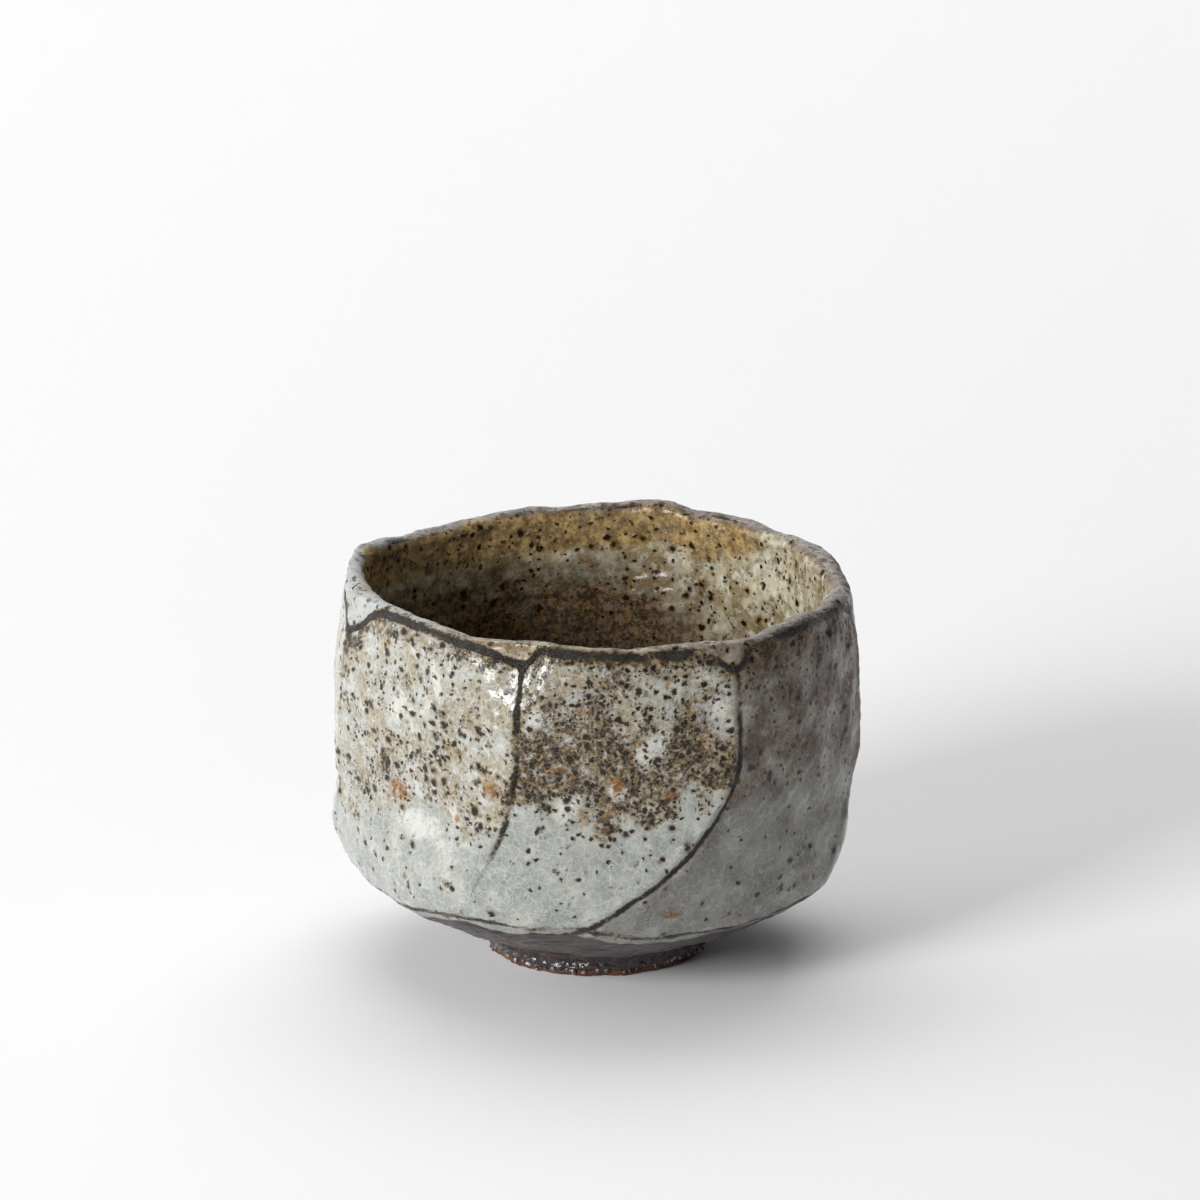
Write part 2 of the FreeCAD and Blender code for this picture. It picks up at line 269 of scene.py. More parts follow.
def ridge_distance(height):
    """Signed distance along the surface to the nearest ridge, and that ridge's number."""
    left, right = ridge_ends(height)
    width = np.radians(right - left) * GLAZED_RIDGE
    nearer_left = SHARE < 0.5
    ridge = np.where(nearer_left, FACET, FACET + 1)
    turned = np.radians(RIDGE_SWEEPS[ridge])
    slant = GLAZED_RIDGE * turned * 2 * sweep_depth(height) / SWEEP_LENGTH**2
    along = np.where(nearer_left, SHARE, SHARE - 1) * width
    return along / np.sqrt(1 + slant**2), ridge % len(RIDGES)


def lip_height(angle):
    angles = [a for a, _ in LIP_WAVES]
    places = np.array([a - 360 for a in angles] + angles + [a + 360 for a in angles])
    values = np.array([rise for _, rise in LIP_WAVES] * 3)
    return LIP_MEAN + curve_through(places, values, angle)


def lip_radius(angle):
    """Outside radius of the lip: a hand-thrown circle with one bulge."""
    place, out, width = LIP_BULGE
    ring = around(angle, 50.0, 0.0)
    bulge = out * bell(turn_between(angle, place), width)
    return LIP_RADIUS - 0.5 + bulge + 0.35 * waves(ring, 34, 11)


def lip_thickness(angle):
    ring = around(angle, 50.0, 0.0)
    return 5.3 + 0.35 * waves(ring, 26, 12)


def band_radius(angle, height):
    """Radius of the thrown form under the lip's round, leaning out downwards."""
    side = lip_height(angle) - LIP_ROUND
    drop = np.clip(side - height, 0, None)
    up = np.clip((height - side) / LIP_ROUND, 0, 1)
    half = lip_thickness(angle) / 2
    return lip_radius(angle) + 0.2 * drop + 0.014 * drop**2 - half * (1 - np.sqrt(1 - up**2))


FRONT_RIDGE = 1  # its top is rolled in, and it fades towards the belly
TOP_ANGLE = column_angle(np.full((1, ALL_COLUMNS), 80.0))


def facet_top():
    """Height in each column at which the facets give way to the lip's band."""
    dips = 0.0
    for place, dip, before, after in RIDGE_DIPS:
        turn = turn_between(TOP_ANGLE, place)
        dips = dips + dip * bell(turn, np.where(turn < 0, before, after))
    ring = around(TOP_ANGLE, 55.0, 0.0)
    return (lip_height(TOP_ANGLE) - FACET_GAP - dips + 0.12 * waves(ring, 9, 13))[0]


FACET_TOP = facet_top()


def cut_radius(height):
    """Radius of the facets with their top edges rolled in, most of all at one ridge."""
    near = bell(turn_between(TOP_ANGLE, RIDGES[FRONT_RIDGE][0]), 5.5)
    edge = smooth_step(FACET_TOP - 4.5, FACET_TOP + 1.0, height)
    corner = smooth_step(69, 85, height)
    return facet_radius(height) - 0.6 * edge - 2.8 * near * corner


def lip_outside(height):
    """The band's radius, moved in or out so that it meets the facets along their top edge."""
    gap = cut_radius(FACET_TOP[None, :]) - band_radius(TOP_ANGLE, FACET_TOP[None, :])
    fade = 1 - smooth_step(FACET_TOP, lip_height(TOP_ANGLE) - 0.1, height)
    return band_radius(TOP_ANGLE, height) + gap * fade


def underside_radius(height):
    """Radius of the underside at a height: an arc from the base, then a straight slope."""
    base, belly, bow, above_belly = (BASE_RADIUS, FOOT_HEIGHT), (50.0, 17.6), 110.0, 1.4
    chord = np.subtract(belly, base)
    normal = np.array([-chord[1], chord[0]]) / np.hypot(*chord)
    rise = math.sqrt(bow**2 - (np.hypot(*chord) / 2) ** 2)
    centre = np.add(base, belly) / 2 + normal * rise
    arc = centre[0] + np.sqrt(np.clip(bow**2 - (centre[1] - height) ** 2, 0, None))
    return np.where(height < belly[1], arc, belly[0] + (height - belly[1]) * above_belly)


def first_height(low, high, test):
    """Height in each column where test first holds, going up."""
    heights = np.arange(low, high, 0.05)[:, None] + np.zeros(ALL_COLUMNS)
    return heights[np.argmax(test(heights), axis=0), 0]


def ring_blur(values, reach):
    """Blurs round the bowl over reach columns, so that ridges are rounded."""
    offsets = np.arange(-3 * reach, 3 * reach + 1)
    weights = np.exp(-((offsets / reach) ** 2))
    weights /= weights.sum()
    pairs = zip(offsets, weights)
    return sum(weight * np.roll(values, offset, axis=-1) for offset, weight in pairs)


def outer_radius(height):
    """Radius of the whole outside, from the base to the lip's crest, without its unevenness."""
    facets = cut_radius(height)
    distance, ridge = ridge_distance(height)
    soft = bell(distance, 7.0) * (ridge == FRONT_RIDGE) * (1 - smooth_step(26, 46, height))
    facets = ring_blur(facets, 2) * (1 - soft) + ring_blur(facets, 10) * soft
    lap = 0.34 * bell(distance + 1.5, 1.1) - 0.26 * bell(distance - 1.0, 0.9)
    facets = facets + lap * (1 - soft) * smooth_step(16, 24, height)
    wall = soft_min(facets, lip_outside(height), 0.45)
    return soft_min(wall, underside_radius(height), 0.5)


def inner_radius(angle, height):
    """Radius of the inside wall, bulging a little below the lip, with turning rings and slow waves.
    """
    mouth = lip_radius(angle) - lip_thickness(angle)
    points = around(angle, 50.0, height)
    bulge = 0.9 * np.sin(np.clip((LIP_TOP - height) / 50.0, 0, 1) * math.pi / 2)
    turns = height / 3.7 + angle / 360
    turning = 0.16 * np.cos(2 * math.pi * turns + 0.9 * waves(points, 30, 21))
    fade = 1 - smooth_step(72, 80, height)
    return mouth + bulge + fade * (turning + 0.3 * waves(points, 17, 22))


def unevenness(points):
    """Height of the hand-made surface over the smooth one, along its normal."""
    slow = 0.22 * waves(points, 21, 31) + 0.10 * waves(points, 8.5, 32)
    return slow + 0.05 * waves(points, 3.2, 33) + 0.022 * waves(points, 1.5, 34)


def smooth_line(points, count):
    """Radius and height at places spread evenly along a smooth line through given points, and
    the length left to its end."""
    line = np.array(points)
    length = np.concatenate([[0], np.cumsum(np.hypot(*np.diff(line, axis=0).T))])
    at = np.linspace(0, length[-1], count)[:, None]
    radius, height = (curve_through(length, line[:, axis], at) for axis in (0, 1))
    return radius, height, length[-1] - at


def normals_of(rings):
    """Outward normals of a grid of rings."""
    along = np.gradient(rings, axis=0)
    round_ = np.roll(rings, -1, axis=1) - np.roll(rings, 1, axis=1)
    normal = np.cross(round_, along)
    return normal / np.maximum(np.linalg.norm(normal, axis=-1, keepdims=True), 1e-9)


def lifted(rings, amount):
    """The rings moved out along their normals."""
    return rings + normals_of(rings) * np.asarray(amount)[..., None]


NO_START = np.zeros(ALL_COLUMNS)


def even_rows(points, first, rows):
    """Resamples each column's line of points evenly along its length, from its first place on."""
    steps = np.linalg.norm(np.diff(points, axis=0), axis=-1)
    length = np.vstack([np.zeros(points.shape[1]), np.cumsum(steps, axis=0)])
    places = np.arange(len(points))
    out = np.empty((rows, *points.shape[1:]))
    for column in range(points.shape[1]):
        start = np.interp(first[column], places, length[:, column])
        at = np.linspace(start, length[-1, column], rows)
        for axis in range(3):
            out[:, column, axis] = np.interp(at, length[:, column], points[:, column, axis])
    return out


def displaced(rings, lift, count, thickness):
    """The rings moved out by lift, and count rings of the coat's back, from last to first."""
    normal = normals_of(rings)
    moved = rings + normal * lift[..., None]
    picked = np.linspace(len(rings) - 1, 0, count).astype(int)
    return moved, moved[picked] - normal[picked] * thickness


# ---------- Marks of the kiln and the hand on the wall

# Angle, height, half width, half height, lean in mm per mm of height, and how far it stands out.
WHITE_MARKS = (
    (-38.5, 74, 1.6, 5.5, -0.25, 0.4),
    (-33, 45.2, 1.9, 3.6, -0.35, 0.6),
    (-51, 66, 3.4, 4.6, 0.2, 0.2),
    (-45, 40, 8, 4, 0, 0),
    (4.5, 52.5, 2.6, 2.4, 0, 0.2),
    (-7, 49, 3.4, 4, 0.3, 0.1),
    (27, 70, 3, 3.2, 0, 0),
    (12, 62, 4.2, 5, 0.3, 0),
    (-14, 69, 2.2, 4, 0.2, 0),
)
OCHRE_MARKS = (
    (-23.8, 52.6, 2.6, 3, 0, 0.5),
    (-32.4, 44.4, 1, 1.3, 0, 0.15),
    (-9.2, 58, 2.2, 0.9, 0, 0.3),
    (4.6, 53.6, 1.2, 2.2, 0.4, 0.25),
    (2.4, 47.8, 1.3, 1.6, 0.5, 0.2),
    (-2.4, 46.8, 1, 1, 0.3, 0.1),
    (16.5, 51.5, 1.7, 1.1, 0, 0.1),
    (-52, 46.5, 3.4, 3, 0, 0),
    (24, 64, 1.4, 2.2, 0, 0),
    (18, 23, 3.2, 1.2, -0.6, 0),
    (118, 55, 2.6, 1.8, 0, 0.3),
    (201, 49, 2.2, 2.9, 0, 0.4),
    (240, 61, 3, 1.4, 0, 0.2),
)
DARK_MARKS = (
    (-25, 56.4, 3, 0.7, 0.5, 0.3),
    (-9, 57.2, 3.2, 0.6, 0.3, 0.25),
    (-6, 59.8, 1.4, 0.6, -0.9, 0.1),
    (-70, 75.6, 3, 1.8, 0.6, 0),
    (-11, 48.5, 0.9, 1, 0, -0.2),
    (-12.5, 44.2, 1.1, 1.1, 0, -0.25),
    (-9, 34.5, 1, 1, 0, -0.2),
    (-6.5, 40.5, 0.8, 0.8, 0, -0.15),
    (66, 79, 0.9, 0.9, 0, -0.4),
    (50, 37, 1, 1, 0, -0.2),
    (49, 24, 1.4, 1.4, 0, 0),
)


def mark_cover(marks, angle, height, radius):
    """How strongly a list of marks covers each point, and how far they raise it."""
    cover = np.zeros_like(radius)
    raised = np.zeros_like(radius)
    for place, at, half_width, half_height, lean, out in marks:
        up = height - at
        across = np.radians(turn_between(angle, place)) * radius - lean * up
        near = np.exp(-((across / half_width) ** 2 + (up / half_height) ** 2) ** 1.5)
        cover = np.maximum(cover, near)
        raised += out * near
    return cover, raised


def scattered_pits(points, low, high, count, seed):
    """Depth of small open pinholes between two heights, most of them in the upper part."""
    rng = np.random.default_rng(seed)
    total = np.zeros(points.shape[:-1])
    for _ in range(count):
        angle = rng.uniform(-180, 180)
        height = low + (high - low) * rng.uniform() ** 0.7
        width = rng.uniform(0.45, 0.95)
        near_rows = np.abs(points[:, 0, 2] - height) < 6
        block = points[near_rows]
        way = around(angle, 1.0, 0.0)
        side = block[..., 0] * way[1] - block[..., 1] * way[0]
        same_side = block[..., 0] * way[0] + block[..., 1] * way[1] > 0
        near = bell(side, width) * bell(block[..., 2] - height, width) * same_side
        total[near_rows] -= rng.uniform(0.12, 0.3) * near
    return total


# ---------- Meshes


BAKE_EDGE = 0.004
HIDDEN_ROOM = 0.06


def bake_places(rows, shown, columns):
    """Places of the quads' corners on the bake map: two strips for what shows, one for the rest."""
    half = columns // 2
    strip, across = np.divmod(np.arange(columns), half)
    row = np.arange(rows)
    room = HIDDEN_ROOM if rows > shown else 0.0
    strip_height = (1 - room) / 2
    rest = max(rows - shown, 1)
    out = np.empty((rows, columns, 4, 2))
    for corner, (right, up) in enumerate(((0, 0), (1, 0), (1, 1), (0, 1))):
        out[:, :, corner, 0] = BAKE_EDGE + (1 - 2 * BAKE_EDGE) * (across + right)[None, :] / half
        share = np.clip((row + up) / max(shown, 1), 0, 1)[:, None]
        inner = BAKE_EDGE + (strip_height - 2 * BAKE_EDGE) * share
        hidden_share = ((row - shown + up) / rest)[:, None]
        hidden_inner = BAKE_EDGE / 2 + (room / 2 - BAKE_EDGE) * hidden_share
        shown_place = room + strip[None, :] * strip_height + inner
        hidden_place = strip[None, :] * room / 2 + hidden_inner
        out[:, :, corner, 1] = np.where((row >= shown)[:, None], hidden_place, shown_place)
    return out


def sharpen_rings(mesh, columns, borders):
    """Keeps the shading of a coat's shown side apart from its hidden side."""
    ends = np.empty(len(mesh.edges) * 2, int)
    mesh.edges.foreach_get("vertices", ends)
    ring = ends.reshape(-1, 2) // columns
    sharp = (ring[:, 0] == ring[:, 1]) & np.isin(ring[:, 0], borders)
    mesh.attributes.new("sharp_edge", "BOOLEAN", "EDGE").data.foreach_set("value", sharp)


def pole_fans(count, columns):
    """The triangles that close an open row of rings at each end, and their bake places."""
    bottom = count * columns
    faces = []
    for ring, pole, flip in ((0, bottom, True), (bottom - columns, bottom + 1, False)):
        fans = [(ring + j, ring + (j + 1) % columns, pole) for j in range(columns)]
        faces += [fan[::-1] for fan in fans] if flip else fans
    places = np.zeros((2, columns, 3, 2))
    places[..., 0] = (np.arange(columns) / columns)[:, None]
    places[:, :, 1, 0] += 1 / columns
    places[0, ..., 1] = 0.001
    places[1, ..., 1] = 0.999
    return faces, places.reshape(-1, 2)


def add_object(name, data):
    made = bpy.data.objects.new(name, data)
    bpy.context.scene.collection.objects.link(made)
    return made


def new_piece(name, points, faces):
    """A smooth-shaded object from points in metres."""
    mesh = bpy.data.meshes.new(name)
    mesh.from_pydata(np.asarray(points).tolist(), [], faces)
    mesh.polygons.foreach_set("use_smooth", np.ones(len(mesh.polygons), bool))
    return add_object(name, mesh)


def ring_mesh(name, rings, marks=None, shown=None, poles=None, borders=()):
    """A closed mesh of rings: a loop of them, or an open row with a pole at each end."""
    count, columns = rings.shape[:2]
    rows = count if poles is None else count - 1
    first = np.arange(rows)[:, None] * columns
    second = ((np.arange(rows)[:, None] + 1) % count) * columns
    here = np.arange(columns)[None, :]
    after = (here + 1) % columns
    quads = np.stack([first + here, first + after, second + after, second + here], axis=-1)
    faces = quads.reshape(-1, 4).tolist()
    points = rings.reshape(-1, 3)
    places = bake_places(rows, rows if shown is None else shown, columns).reshape(-1, 2)
    if poles is not None:
        fans, fan_places = pole_fans(count, columns)
        faces += fans
        points = np.vstack([points, poles])
        places = np.vstack([places, fan_places])
    piece = new_piece(name, points * MM, faces)
    borders = borders or ((0, shown - 1) if shown else ())
    if borders:
        sharpen_rings(piece.data, columns, borders)
    piece.data.uv_layers.new(name="OFBake").data.foreach_set("uv", places.ravel())
    for mark, values in (marks or {}).items():
        full = np.zeros(len(points))
        full[:values.size] = values.ravel()
        piece.data.attributes.new(mark, "FLOAT", "POINT").data.foreach_set("value", full)
    piece.data.update()
    return piece


def settle(piece, material, slot, *nodes):
    """Gives a piece its material and its place in the frame."""
    piece.data.materials.append(material)
    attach(piece, "root")
    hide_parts(*nodes)


# ---------- Material graphs


# Places of the colour sockets on a Mix node.
MIX_FIRST, MIX_SECOND, MIX_RESULT = 6, 7, 2


class Value:
    """A number or a colour in a material's graph, with sums, smooth steps and blends."""

    def __init__(self, graph, socket):
        self.graph = graph
        self.socket = socket

    def __add__(self, other):
        return self.graph.math("ADD", self, other)

    def __sub__(self, other):
        return self.graph.math("SUBTRACT", self, other)

    def __rsub__(self, other):
        return self.graph.math("SUBTRACT", other, self)

    def __mul__(self, other):
        return self.graph.math("MULTIPLY", self, other)

    __radd__ = __add__
    __rmul__ = __mul__

    def at_least(self, other):
        return self.graph.math("MAXIMUM", self, other)

    def at_most(self, other):
        return self.graph.math("MINIMUM", self, other)

    def step(self, low, high, first=0.0, last=1.0):
        """A smooth step from first to last while this value goes from low to high."""
        feeds = dict(enumerate((self, low, high, first, last)))
        kind = "ShaderNodeMapRange"
        return self.graph.node(kind, "Result", feeds, interpolation_type="SMOOTHSTEP")

    def blend(self, first, second):
        """The colour that lies this share of the way from first to second."""
        feeds = {"Factor": self, MIX_FIRST: first, MIX_SECOND: second}
        return self.graph.node("ShaderNodeMix", MIX_RESULT, feeds, data_type="RGBA")

    def sibling(self, output):
        """Another output of the same node."""
        return Value(self.graph, self.socket.node.outputs[output])


class Graph:
    """Short names for the shader nodes that the glazes use.  Texture lengths are in millimetres."""

    def __init__(self, name, shine=0.3):
        self.material = bpy.data.materials.new(name)
        self.material.use_nodes = True
        self.tree = self.material.node_tree
        self.shader = self.tree.nodes["Principled BSDF"]
        self.shader.inputs["Specular IOR Level"].default_value = shine
        self.place = self.scaled(self.node("ShaderNodeTexCoord", "Object"), 1 / MM)

    def node(self, kind, output, feeds=None, **settings):
        """Adds a node, feeds its inputs by name or place, and returns one of its outputs."""
        made = self.tree.nodes.new(kind)
        for key, value in settings.items():
            setattr(made, key, value)
        for place, value in (feeds or {}).items():
            self.feed(made.inputs[place], value)
        return Value(self, made.outputs[output])

    def feed(self, socket, value):
        if isinstance(value, Value):
            self.tree.links.new(value.socket, socket)
        elif socket.type == "RGBA":
            socket.default_value = (*value, 1.0)
        else:
            socket.default_value = value

    def math(self, operation, first, second):
        return self.node("ShaderNodeMath", 0, {0: first, 1: second}, operation=operation)

    def vector(self, operation, first, second):
        feeds = {0: first, 1: second}
        return self.node("ShaderNodeVectorMath", "Vector", feeds, operation=operation)

    def scaled(self, vector, scale):
        feeds = {0: vector, "Scale": scale}
        return self.node("ShaderNodeVectorMath", "Vector", feeds, operation="SCALE")

    def held(self, name):
        """A value stored on the mesh."""
        return self.node("ShaderNodeAttribute", "Fac", attribute_name=name)

    def noise(self, length, detail=2.0, rough=0.5, place=None, output="Fac"):
        """Noise with features about length apart."""
        feeds = {"Vector": place or self.place, "Scale": 1 / length}
        feeds |= {"Detail": detail, "Roughness": rough}
        return self.node("ShaderNodeTexNoise", output, feeds)

    def warped(self, length, amount):
        """The place, pushed about by noise."""
        push = self.vector("SUBTRACT", self.noise(length, output="Color"), (0.5, 0.5, 0.5))
        return self.vector("ADD", self.place, self.scaled(push, amount * 2))

    def stretched(self, across, up, place):
        """A place for noise whose features are longer sideways or upwards."""
        return self.vector("MULTIPLY", place, (1 / across, 1 / across, 1 / up))

    def dots(self, spacing, size, density, place=None, soft=0.35):
        """Round specks about spacing apart. density is the share of cells that hold one."""
        feeds = {"Vector": place or self.place, "Scale": 1 / spacing}
        cell = self.node("ShaderNodeTexVoronoi", "Color", feeds)
        chance = self.node("ShaderNodeSeparateColor", 0, {0: cell})
        chosen = self.math("LESS_THAN", chance, density)
        reach = chance.sibling(1).step(0.0, 1.0, size * 0.45, size)
        inside = reach - cell.sibling("Distance")
        return inside.step(0.0, size * soft) * chosen

    def cracks(self, spacing, width, place):
        """The lines between the cells of a crackle."""
        feeds = {"Vector": place, "Scale": 1 / spacing}
        cell = self.node("ShaderNodeTexVoronoi", "Distance", feeds, feature="DISTANCE_TO_EDGE")
        return cell.step(width / spacing, 0.0)

    def finish(self, colour, roughness, height):
        """Gives the shader its colour and roughness, and bumps of a height in millimetres."""
        bump = self.node("ShaderNodeBump", "Normal", {"Distance": MM, "Height": height})
        for name, value in (("Base Color", colour), ("Roughness", roughness), ("Normal", bump)):
            self.feed(self.shader.inputs[name], value)
        return self.material


# Colours of the glazes and clays, in linear light.  A pair is a darker and a lighter tone.
PALE = (0.345, 0.352, 0.325)
BLUE_GREY = (0.235, 0.255, 0.24)
BEIGE = (0.25, 0.215, 0.14)
WARM_WHITE = (0.55, 0.55, 0.515)
SPECK = (0.011, 0.006, 0.002)
HALOS = (0.042, 0.023, 0.005), (0.145, 0.083, 0.015)
OCHRE = (0.31, 0.14, 0.03)
BURNT_OCHRE = (0.1, 0.045, 0.015)
# Purple-brown tones of the right facets: partly the glaze's tint, partly painted shade.
MAUVE_AND_SHADE_TONES = (0.042, 0.025, 0.018), (0.14, 0.092, 0.07)
MAUVE_SPOT = (0.24, 0.19, 0.16)
EDGE_BLACK = (0.009, 0.007, 0.006)
INSIDE_TONES = (0.23, 0.18, 0.09), (0.46, 0.43, 0.31)
INSIDE_BROWN = (0.13, 0.068, 0.022)
CHALK = (0.62, 0.62, 0.55)
MILK = (0.58, 0.6, 0.56)
BONE = (0.5, 0.48, 0.41)
# Dark and brown tones of the inside's brown stain and its painted shade.
STAIN_AND_SHADE_TONES = (0.026, 0.014, 0.006), (0.16, 0.082, 0.027)
SCORCHES = (0.13, 0.078, 0.03), (0.44, 0.285, 0.1)
LIP_GREYS = (0.12, 0.088, 0.07), (0.29, 0.25, 0.215)
LIP_PALES = (0.28, 0.285, 0.28), (0.46, 0.465, 0.45)
LIP_OLIVES = (0.165, 0.112, 0.055), (0.35, 0.3, 0.215)
LIP_SHADE = (0.04, 0.026, 0.019)
LIP_CREST = (0.06, 0.042, 0.038)
SLIPS = (0.028, 0.02, 0.02), (0.062, 0.047, 0.048)
SLIP_LINE = (0.14, 0.11, 0.105)
SLIP_GRIT = (0.35, 0.33, 0.31)
CLAYS = (0.06, 0.027, 0.017), (0.125, 0.058, 0.032)
PALE_GROG = (0.3, 0.2, 0.14)
DARK_GROG = (0.04, 0.025, 0.02)
RUNS = (0.018, 0.014, 0.014), (0.06, 0.038, 0.032)
RUN_SPOT = (0.3, 0.24, 0.22)
BEADS = (0.06, 0.034, 0.028), (0.5, 0.43, 0.4)
PAPERS = (0.865, 0.865, 0.87), (0.895, 0.895, 0.9)


def layered(colour, *layers):
    """A colour under layers. Each is how strongly it covers what lies below, and its own colour."""
    for cover, tone in layers:
        colour = cover.blend(colour, tone)
    return colour


def speckled(graph, colour, iron, place):
    """Round iron specks in golden brown halos. Returns the colour and where the specks are."""
    cluster = graph.noise(5.0, 4, 0.65) * 1.3 + graph.noise(2.0, 3) - 0.42
    dense = (cluster * iron).at_least(0.0).at_most(1.3)
    uneven = graph.vector("ADD", place, graph.scaled(graph.noise(0.6, output="Color"), 0.55))
    sizes = (
        (0.85, 0.48, dense * 0.4),
        (1.3, 0.52, dense * 0.52),
        (2.1, 0.46, dense * 0.52),
        (3.3, 0.3, iron * 0.7),
        (2.6, 0.2, iron * 0.3 + 0.32),
    )
    patchy = graph.noise(1.1, 5, 0.75, place)
    specks = (patchy + dense * 0.16).step(0.72, 0.8)
    halo = (patchy + dense * 0.32).step(0.68, 0.9)
    for spacing, size, density in sizes:
        specks = specks.at_least(graph.dots(spacing, size, density, uneven, soft=0.3))
        halo = halo.at_least(graph.dots(spacing, size * 1.8, density, uneven, soft=0.65))
    brown = graph.noise(1.8, 4, 0.7).step(0.42, 0.6).blend(*HALOS)
    return layered(colour, (halo * 0.88, brown), (specks * 0.96, SPECK)), specks


def edged(graph, colour):
    """The dark broken line along edges, with a brown glow. Returns the colour and the line."""
    edge = graph.held("edge")
    near = edge + graph.noise(1.3, 5, 0.85) * 2.2 - 0.72
    line = near.step(0.8, 1.15) * edge.step(0.1, 0.35)
    glow = graph.noise(2.6, 3).step(0.45, 0.6).blend(*HALOS)
    glowing = near.step(0.45, 0.95) * edge.step(0.02, 0.3) * 0.75
    return layered(colour, (glowing, glow), (line * 0.97, EDGE_BLACK)), line


def ragged(graph, name):
    """The cover of a stored mark, with a torn edge instead of a soft one."""
    cover = graph.held(name)
    torn = cover + graph.noise(1.1, 5, 0.75) * 3.0 - 1.6
    return torn.step(0.2, 1.0) * cover.step(0.05, 0.4)


def outer_glaze_material():
    """Pale crackled ash glaze: iron specks above, blue-grey below, and on the right facets a dark
    purple-brown that is partly the glaze's own tint and partly painted shade.
    """
    graph = Graph("ash_glaze", shine=0.36)
    iron, low, mauve_shaded_side = graph.held("iron"), graph.held("low"), graph.held("mauve_and_shade")
    place = graph.warped(2.4, 0.7)
    fine = graph.noise(0.9, 4, 0.7)
    colour = graph.noise(5.0, 5, 0.65).step(0.4, 0.6).blend(BEIGE, PALE)
    low_colour = graph.noise(7.0, 4, 0.6).step(0.36, 0.66).blend(BLUE_GREY, PALE)
    # On the right facets, fewer white drifts and cracks and a darker purple-brown, partly painted
    # shade.
    lift = 1.0 - mauve_shaded_side * 0.85
    clear = lift * (1.0 - low * 0.4)
    streaks = graph.noise(1.0, 5, 0.75, graph.stretched(1.5, 2.0, place))
    mauve_and_shade = streaks.step(0.42, 0.6).blend(*MAUVE_AND_SHADE_TONES)
    mauve_and_shade = graph.dots(1.7, 0.4, 0.3, place, soft=0.8).blend(mauve_and_shade, MAUVE_SPOT)
    drifts = graph.noise(4.0, 5, 0.7, place).step(0.54, 0.66) * clear
    drifts = drifts * (1.0 - (iron * 0.6).at_most(1.0)) * 0.8
    veil = (ragged(graph, "white") * 0.8).at_least(drifts)
    rust = graph.noise(3.2, 4, 0.65, place).step(0.58, 0.68) * iron
    wide_cracks = graph.cracks(2.7, 0.13, graph.warped(3.0, 0.6))
    crackle = wide_cracks + graph.cracks(1.3, 0.09, graph.warped(1.6, 0.4)) * 0.5
    colour = layered(
        colour,
        (low.step(0.1, 0.9), low_colour),
        (fine.step(0.42, 0.68) * clear * 0.3, WARM_WHITE),
        (fine.step(0.48, 0.32) * 0.15, HALOS[0]),
        (mauve_shaded_side, mauve_and_shade),
        (rust * 0.6, OCHRE),
        (veil, WARM_WHITE),
        (crackle * lift * 0.39, WARM_WHITE),
    )
    colour, specks = speckled(graph, colour, iron * (1.0 - veil * 0.75), place)
    burnt = graph.noise(0.8, 4, 0.7).step(0.42, 0.6).blend(OCHRE, BURNT_OCHRE)
    ochre, dark = ragged(graph, "ochre") * 0.85, ragged(graph, "dark") * 0.92
    colour = layered(colour, (ochre, burnt), (dark, SPECK))
    colour, line = edged(graph, colour)
    rough = fine * 0.12 + specks * 0.15 + mauve_shaded_side * 0.14 + 0.05
    height = graph.noise(1.4, 3, 0.6) * 0.12 + graph.noise(4.0) * 0.26 - specks * 0.06
    height = height - crackle * 0.01 + line * graph.noise(0.6, 3, 0.7) * 0.5
    return graph.finish(colour, rough, height)


def inside_colour(graph):
    """Beige-green glaze with brown clouds, milky spots, a scorched band at the rim, and brown
    stains with painted shade low down and towards the back-left.
    Returns the colour and where the pinholes are."""
    place = graph.warped(3.0, 0.6)
    milk = graph.dots(2.6, 0.72, 0.4, place, soft=1.0) + graph.dots(5.5, 0.5, 0.6, place, soft=1.0)
    patchy = graph.noise(7.0, 5, 0.7, place) * 1.1 + graph.noise(1.3, 4, 0.7) * 0.5
    # Brown stain together with painted shade, low down and towards the back-left.
    stain_and_shade = (graph.held("stain_and_shade") * 1.2 + patchy).step(0.85, 1.55)
    burnt = (graph.held("rim") + graph.noise(3.0, 4, 0.7) * 0.9).step(0.75, 1.15)
    holes = graph.dots(2.6, 0.2, 0.5, place).at_least(graph.dots(5.5, 0.12, 0.7, place))
    colour = layered(
        graph.noise(9.0, 5, 0.65).step(0.42, 0.6).blend(*INSIDE_TONES),
        (graph.noise(5.0, 5, 0.75, place).step(0.48, 0.64) * 0.75, INSIDE_BROWN),
        (graph.noise(2.6, 5, 0.7).step(0.5, 0.64) * 0.7, CHALK),
        (milk.at_most(1.0) * 0.45, MILK),
        (stain_and_shade * 0.92, graph.noise(2.0, 5, 0.75).step(0.42, 0.62).blend(*STAIN_AND_SHADE_TONES)),
        (burnt * 0.9, graph.noise(2.6, 5, 0.8).step(0.4, 0.62).blend(*SCORCHES)),
        (graph.noise(1.0, 4, 0.7).step(0.42, 0.7) * 0.175, BONE),
        (holes * 0.93, SPECK),
    )
    return colour, holes


